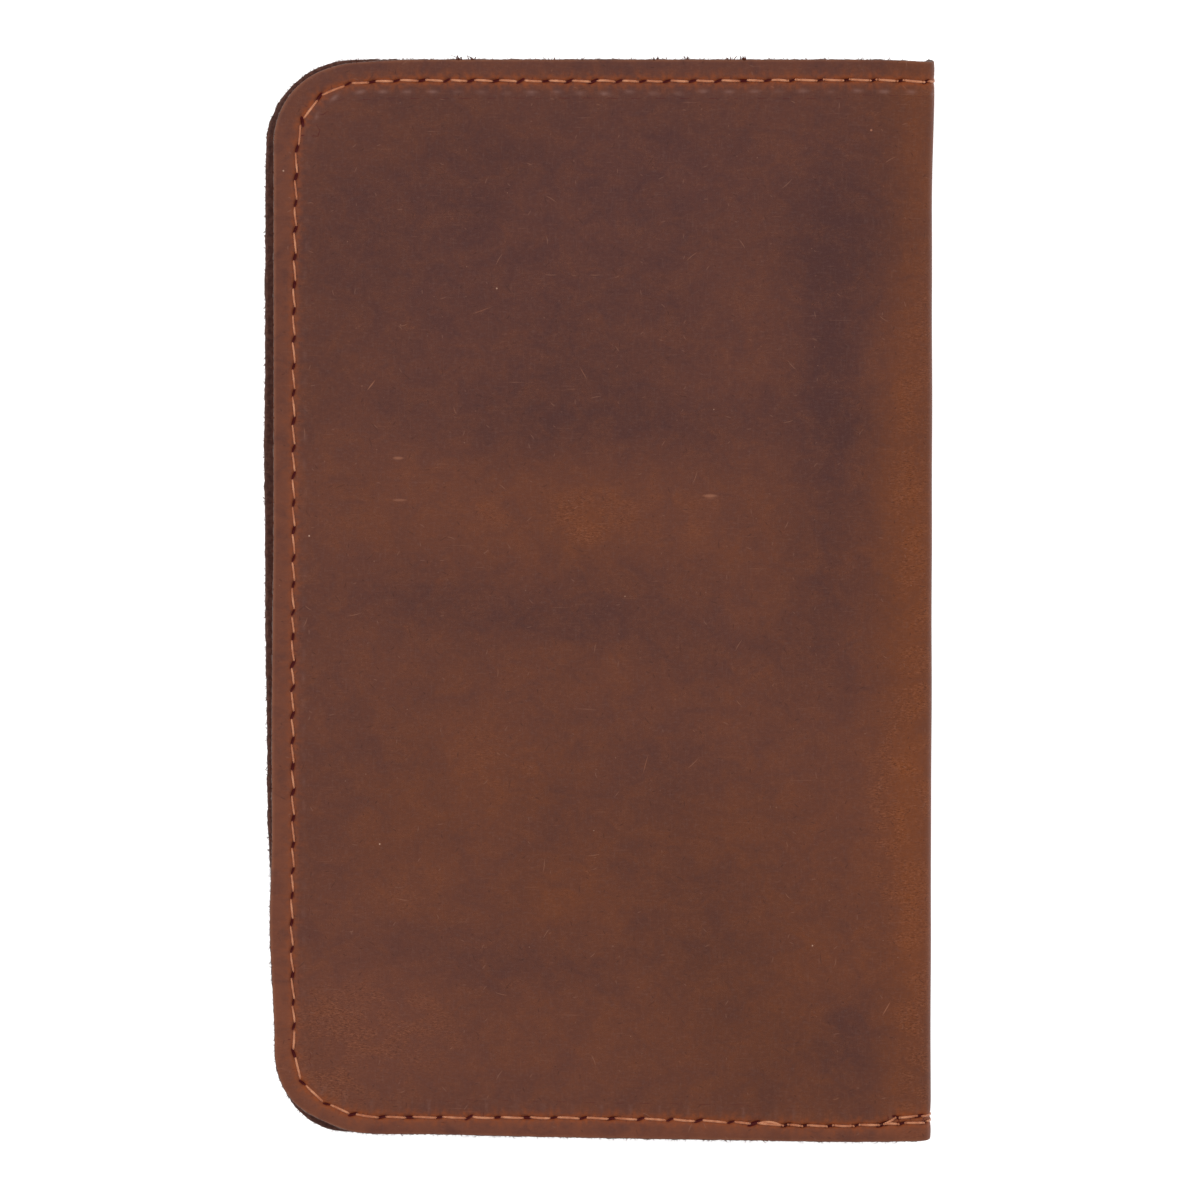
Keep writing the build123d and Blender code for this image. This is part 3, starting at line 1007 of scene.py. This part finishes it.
def part_of(u):
    """Which of the three bending parts each u belongs to."""
    return np.where(u < U_JOIN_BACK, "back", np.where(u > U_JOIN_FRONT, "front", "spine"))


# Insets of the rings of mesh points, from the cut edge in past the feed marks
NEAR_EDGE = [0.12, 0.3, 0.6, 1.0, 1.5, 2.0, 2.4, 2.7]
ACROSS_SEAM = list(np.arange(2.93, 5.3, 0.22))
INSIDE_SEAM = [5.45, 5.75, 6.1, 6.4, 6.7, 7.1, 7.7, 8.6, 9.8]


def leather_mesh():
    rings = [ring(d, 0.6) for d in NEAR_EDGE]
    rings += [ring(d, 0.33) for d in ACROSS_SEAM]
    rings += [ring(d, 0.5 if d < 7 else 1.0) for d in INSIDE_SEAM]
    field = field_points(U_BACK, U_FRONT, 11.2, 1.7)
    field = field[np.abs(field[:, 0] - U_SPINE) >= HALF_FOLD + 1]
    across = np.arange(-HALF_FOLD - 0.6, HALF_FOLD + 0.7, 0.42)
    rows = np.arange(-HALF_HEIGHT + 5.6, HALF_HEIGHT - 5.6, 1.1)
    grid_u, grid_v = np.meshgrid(U_SPINE + across, rows)
    spine = columns(grid_u.ravel(), grid_v.ravel())
    spine = spine[np.abs(np.abs(spine[:, 0] - U_SPINE) - (U_SPINE - U_JOIN_BACK)) > 0.2]
    band = np.array([0] + NEAR_EDGE + ACROSS_SEAM + INSIDE_SEAM)
    middle = np.arange(-HALF_HEIGHT + 10.9, HALF_HEIGHT - 10.8, 1.1)
    vs = np.concatenate([-HALF_HEIGHT + band, middle, HALF_HEIGHT - band[::-1]])
    inner = np.concatenate(rings + [field, spine])
    lines = []
    for u in (U_JOIN_BACK, U_JOIN_FRONT):
        lines.append(columns(np.full_like(vs, u), vs))
        inner = inner[np.abs(inner[:, 0] - u) > 0.12]
    return triangulate(ring(0, 0.42), lines, inner)


def make_leather():
    points, triangles = leather_mesh()
    middle = points[triangles].mean(axis=1)[:, 0]
    owner = part_of(middle)
    stands_for = {
        "front": ("front_cover_leather",),
        "spine": ("spine_front_leather", "spine_back_leather"),
        "back": ("back_cover_leather",),
    }
    for part, (fold, lines) in BENDS.items():
        piece = slab(
            f"leather_{part}", points, triangles[owner == part], outer_top, outer_bottom, describe,
            (GRAIN, EDGE, FLESH), lines,
        )
        bend(piece, fold, lines)
        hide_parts(*stands_for[part])


make_leather()

# ---- sleeves


def make_sleeve(side):
    """A sleeve: sewn flat along three edges, lifted off the cover inside the rim, open towards the spine."""
    on_back = side == "back"
    if on_back:
        u_low, u_high = U_BACK, U_BACK + SLEEVE_WIDTH
        corners = ("foot_low", "head_low")
    else:
        u_low, u_high = U_FRONT - SLEEVE_WIDTH, U_FRONT
        corners = ("foot_high", "head_high")

    def mouth_gap(u):
        return u_high - u if on_back else u - u_low

    def lift(u, v):
        rise = smooth((inset_of(u, v) - SEWN_RIM + 1.2) / 3.5)
        lip = 0.35 * bump(mouth_gap(u), 9) * smooth((HALF_HEIGHT - np.abs(v) - 8) / 40)
        return POCKET_GAP * rise * (1 + lip)

    def bottom(u, v):
        edge = 0.1 * rounding(np.minimum(inset_of(u, v), mouth_gap(u)), 0.25)
        return LEATHER + 0.02 + lift(u, v) + edge

    def top(u, v):
        pressed, _, _ = stitch_relief(u, v, 0.22)
        edge = EDGE_ROUND * rounding(np.minimum(inset_of(u, v), mouth_gap(u)), EDGE_ROUND)
        return LEATHER + SLEEVE_LEATHER + lift(u, v) - pressed * 0.8 - edge

    rings = [
        ring(inset, spacing, corners, u_low, u_high)
        for insets, spacing in ((NEAR_EDGE, 0.8), (ACROSS_SEAM, 0.4), ((5.6, 6.3, 7.1, 8.0, 9.0), 0.9))
        for inset in insets
    ]
    inner = np.concatenate(rings + [field_points(u_low, u_high, 10.2, 2.2)])
    points, triangles = triangulate(ring(0, 0.6, corners, u_low, u_high), [], inner)

    def describe_sleeve(u, v, n):
        facts = describe(u, v, n)
        light, warm = waves(u, v, 50, 0.7, 21), waves(u, v, 60, 0.6, 22)
        gap = np.minimum(inset_of(u, v), mouth_gap(u) + 3.5)
        facts["tone"] = columns(light - 0.2, warm, gap)
        facts["sheet"] = columns(u + 400, v + 170, n)
        # Painted shade on the sleeve's rim: full within about 1 mm of the cut edges, gone by about 4 mm.
        facts["sewn"][:, 0] = smooth(1.3 - gap / 3.2)
        facts["sewn"][:, 2] = 0
        return facts

    # the grain faces the notebook, so the sleeve's faces are the other way round from the outer leather's
    materials = (SLEEVE_FLESH, EDGE, GRAIN)
    piece = slab(f"sleeve_{side}", points, triangles, bottom, top, describe_sleeve, materials)
    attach(piece, f"{side}_cover")
    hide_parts(f"{side}_sleeve")


make_sleeve("front")
make_sleeve("back")

# ---- stitches


def tube(centres, sides, radii, lobes, phase, sheet_side):
    """A lobed tube along 3-D centre points. Returns points, quads and the strand attribute."""
    tangent = np.gradient(centres, axis=0)
    tangent /= np.linalg.norm(tangent, axis=1)[:, None]
    across = np.cross(sheet_side, tangent)
    across /= np.linalg.norm(across, axis=1)[:, None]
    up = np.cross(tangent, across)
    length = np.concatenate([[0], np.cumsum(np.linalg.norm(np.diff(centres, axis=0), axis=1))])
    angle = np.linspace(0, 2 * math.pi, sides, endpoint=False)
    twist = 2 * math.pi * length / THREAD_LAY + phase
    ripple = np.cos(lobes * (angle[None, :] - twist[:, None])) if lobes else np.ones((len(centres), sides))
    radius = radii[:, None] * (1 + (0.17 * ripple if lobes else 0))
    points = centres[:, None, :] + radius[..., None] * (
        np.cos(angle)[None, :, None] * across[:, None, :] + np.sin(angle)[None, :, None] * up[:, None, :]
    )
    rows, row = len(centres), np.arange(sides)
    base = np.arange(rows - 1)[:, None] * sides
    after = (row + 1) % sides
    quads = columns(base + row, base + after, base + sides + after, base + sides + row).reshape(-1, 4)
    along = np.broadcast_to(length[:, None] + phase * 7, (rows, sides))
    strand = columns(along, 0.5 + 0.5 * ripple, np.full((rows, sides), phase))
    return points.reshape(-1, 3), quads, strand.reshape(-1, 3)


def join_tubes(name, tubes, sides, material):
    """One mesh of many tubes, each with its two ends closed."""
    points, quads, caps, strands, start = [], [], [], [], 0
    for p, q, s in tubes:
        points.append(p)
        quads.append(q + start)
        strands.append(s)
        last = start + len(p) - sides
        caps.append(np.stack([np.arange(sides)[::-1] + start, np.arange(sides) + last]))
        start += len(p)
    faces = [np.concatenate(quads), np.concatenate(caps)]
    index = np.zeros(sum(len(f) for f in faces))
    attributes = {"strand": np.concatenate(strands)}
    return new_mesh(name, np.concatenate(points), faces, index, (material,), attributes)


def stitch_tube(start, end, level, dive, aside=0.0):
    """One stitch between two holes. level gives its surface's depth, and dive is the way down its holes."""
    (u0, v0, h0, side0), (u1, v1, h1, _) = start, end
    off = -0.35 if side0 < 0 else 0.15  # its start to the left of the seam, and its end to the right
    a = np.array([u0 - math.sin(h0) * off, v0 + math.cos(h0) * off])
    b = np.array([u1 + math.sin(h1) * off, v1 - math.cos(h1) * off])
    span = np.linalg.norm(b - a)
    ahead = (b - a) / span
    up = min(THREAD_SHOWS, span * 0.2) * rng.uniform(0.85, 1.12)
    a, b = a + ahead * up, b - ahead * up
    level_points = 21
    flat = np.zeros(level_points)
    share = np.concatenate([[0, 0, 0], np.linspace(0.0, 1, level_points), [1, 1, 1]])
    sink = np.concatenate([[1.5, 0.9, 0.4], flat, [0.4, 0.9, 1.5]])
    inner = share * (1 - share) * 4
    sink += 0.3 * (1 - inner) ** 6
    uv = a + share[:, None] * (b - a)
    shift = np.concatenate([[-0.24, -0.2, -0.13], flat, [0.13, 0.2, 0.24]])
    uv = uv + shift[:, None] * ahead
    bow = (aside + 0.05 * rng.normal(0, 1)) * np.sin(math.pi * share)
    uv = uv + bow[:, None] * np.array([-ahead[1], ahead[0]])
    n = level(uv[:, 0], uv[:, 1]) + dive * sink
    centres = place(uv[:, 0], uv[:, 1], n)
    toward = place(uv[:, 0], uv[:, 1], n + 0.1) - centres
    tight = 0.86 if side0 < 0 else 1.0  # the fore edges were sewn tighter
    radii = np.full(len(n), THREAD_RADIUS * tight) * (1 - 0.12 * (1 - inner))
    return tube(centres, THREAD_SIDES, radii, 3, rng.uniform(0, 6.28), toward)


def needle_level(u, v):
    return np.full_like(u, THREAD_SUNK)


def bobbin_level(u, v):
    """Depth of the bobbin thread, which lies on a sleeve's rim or on the outer leather's flesh side."""
    on_sleeve = np.abs(u - U_SPINE) > SINGLE_HALF + 0.3
    return np.where(on_sleeve, LEATHER + SLEEVE_LEATHER, LEATHER) + 0.02


def make_threads():
    holes = list(HOLES)
    pairs = list(zip(holes, holes[1:] + holes[:1]))
    spare = [(holes[LOCKED], OVERLAP[0])] + list(zip(OVERLAP[:-1], OVERLAP[1:]))
    needle, bobbin = ({part: [] for part in BENDS} for _ in range(2))
    for start, end in pairs + spare:
        part = str(part_of((start[0] + end[0]) / 2))
        outside = stitch_tube(start, end, needle_level, 1)
        inside = stitch_tube(start, end, bobbin_level, -1)
        if end is holes[TORN]:
            needle[part].append(stitch_tube(start, end, needle_level, 1, -0.42))
        needle[part].append(outside)
        bobbin[part].append(inside)
    nodes = {
        "front": ("front_{}_thread",),
        "spine": ("spine_front_{}_thread", "spine_back_{}_thread"),
        "back": ("back_{}_thread",),
    }
    for kind, groups in (("needle", needle), ("bobbin", bobbin)):
        for part, tubes in groups.items():
            piece = join_tubes(f"{kind}_thread_{part}", tubes, THREAD_SIDES, THREAD)
            bend(piece, *BENDS[part])
            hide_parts(*(name.format(kind) for name in nodes[part]))


make_threads()

# ---- loose fibres on the cut edges


def make_fibres(part, body, tufts=()):
    """Short fibres that stand out of a cut edge, thin and tapered. tufts are (u at the head, fibres)."""
    low, high = (U_BACK, X_TANGENT) if part == "back" else (2 * U_SPINE - X_TANGENT, U_FRONT)
    edge = ring(0, 0.25)
    edge = edge[(edge[:, 0] > low - 1) & (edge[:, 0] < high + 1)]
    spots = [edge[k] for k in rng.integers(0, len(edge), FIBRES)]
    sizes = list(rng.uniform(0.15, 0.68, FIBRES))
    thick = list(rng.uniform(0.05, 0.1, FIBRES))
    for tuft_u, number in tufts:
        for _ in range(number):
            spots.append(np.array([tuft_u + rng.normal(0, 0.45), HALF_HEIGHT]))
            sizes.append(rng.uniform(0.4, 1.0))
            thick.append(rng.uniform(0.1, 0.17))
    tubes = []
    for (u, v), size, wide in zip(spots, sizes, thick):
        gu, gv = inward_at(u, v)
        n = rng.uniform(0.2, STACK - 0.6)
        base = place(u, v, n)
        out = place(u - gu * 0.1, v - gv * 0.1, n) - base
        out /= np.linalg.norm(out)
        side = np.cross(out, [0, 0, 1.0])
        lean = side * rng.normal(0, 0.7) + np.array([0, 0, rng.normal(0, 0.35)])
        curl = side * rng.normal(0, 0.6)
        t = np.linspace(-0.15, 1, 5)[:, None]
        centres = base + size * (t * (out + 0.6 * lean) + t * np.abs(t) * curl)
        radii = wide * np.linspace(1.1, 0.3, 5)
        aside = np.array([[0.1, 0.2, 1.0]])
        tubes.append(tube(centres, FIBRE_SIDES, radii, 0, rng.uniform(0, 6.28), aside))
    piece = join_tubes(f"edge_fibres_{part}", tubes, FIBRE_SIDES, FIBRE)
    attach(piece, body)


make_fibres("back", "back_cover", ((-28.5, 9), (-26.0, 6), (18.5, 8), (27.0, 8), (30.0, 10), (12.0, 5)))
make_fibres("front", "front_cover")

# ---- floor, light and camera


def make_floor():
    """White paper that glows a little, so that the cover hardly casts a shadow."""
    mesh = bpy.data.meshes.new("floor")
    half = 3.0
    corners = [(-half, -half, 0), (half, -half, 0), (half, half, 0), (-half, half, 0)]
    mesh.from_pydata(corners, [], [(0, 1, 2, 3)])
    floor = add_to_scene("floor", mesh)
    floor.location.z = -0.0002
    m = Nodes("floor_paper")
    m.shader.inputs["Base Color"].default_value = (0.7, 0.7, 0.7, 1)
    m.shader.inputs["Roughness"].default_value = 0.9
    m.shader.inputs["Emission Color"].default_value = (1, 1, 1, 1)
    m.shader.inputs["Emission Strength"].default_value = 0.72
    mesh.materials.append(m.material)


def make_light(name, place_at, power):
    """A round soft light, aimed at the cover."""
    data = bpy.data.lights.new(name, "AREA")
    data.shape = "DISK"
    data.size = 0.9
    data.energy = power
    lamp = add_to_scene(name, data)
    lamp.location = place_at
    lamp.rotation_mode = "QUATERNION"
    lamp.rotation_quaternion = (-Vector(place_at)).to_track_quat("-Z", "Y")


def make_world():
    world = bpy.data.worlds.new("studio")
    world.use_nodes = True
    background = world.node_tree.nodes["Background"]
    background.inputs["Color"].default_value = (1, 1, 1, 1)
    background.inputs["Strength"].default_value = 0.78
    bpy.context.scene.world = world
    bpy.context.scene.view_settings.view_transform = "Standard"
    bpy.context.scene.view_settings.look = "None"


def make_camera():
    """Straight above the middle of the cover."""
    height = 1.5
    seen = 0.2486  # width of the picture, in metres, at the top of the cover
    data = bpy.data.cameras.new("camera")
    data.sensor_width = 36
    data.lens = data.sensor_width * (height - THICK * MM) / seen
    camera = add_to_scene("camera", data)
    camera.location = (0.0005, 0.0, height)
    bpy.context.scene.camera = camera


make_floor()
make_light("softbox_left", (-0.9, 0.5, 1.1), 7)
make_light("softbox_right", (0.9, 0.35, 1.2), 4)
make_world()
make_camera()
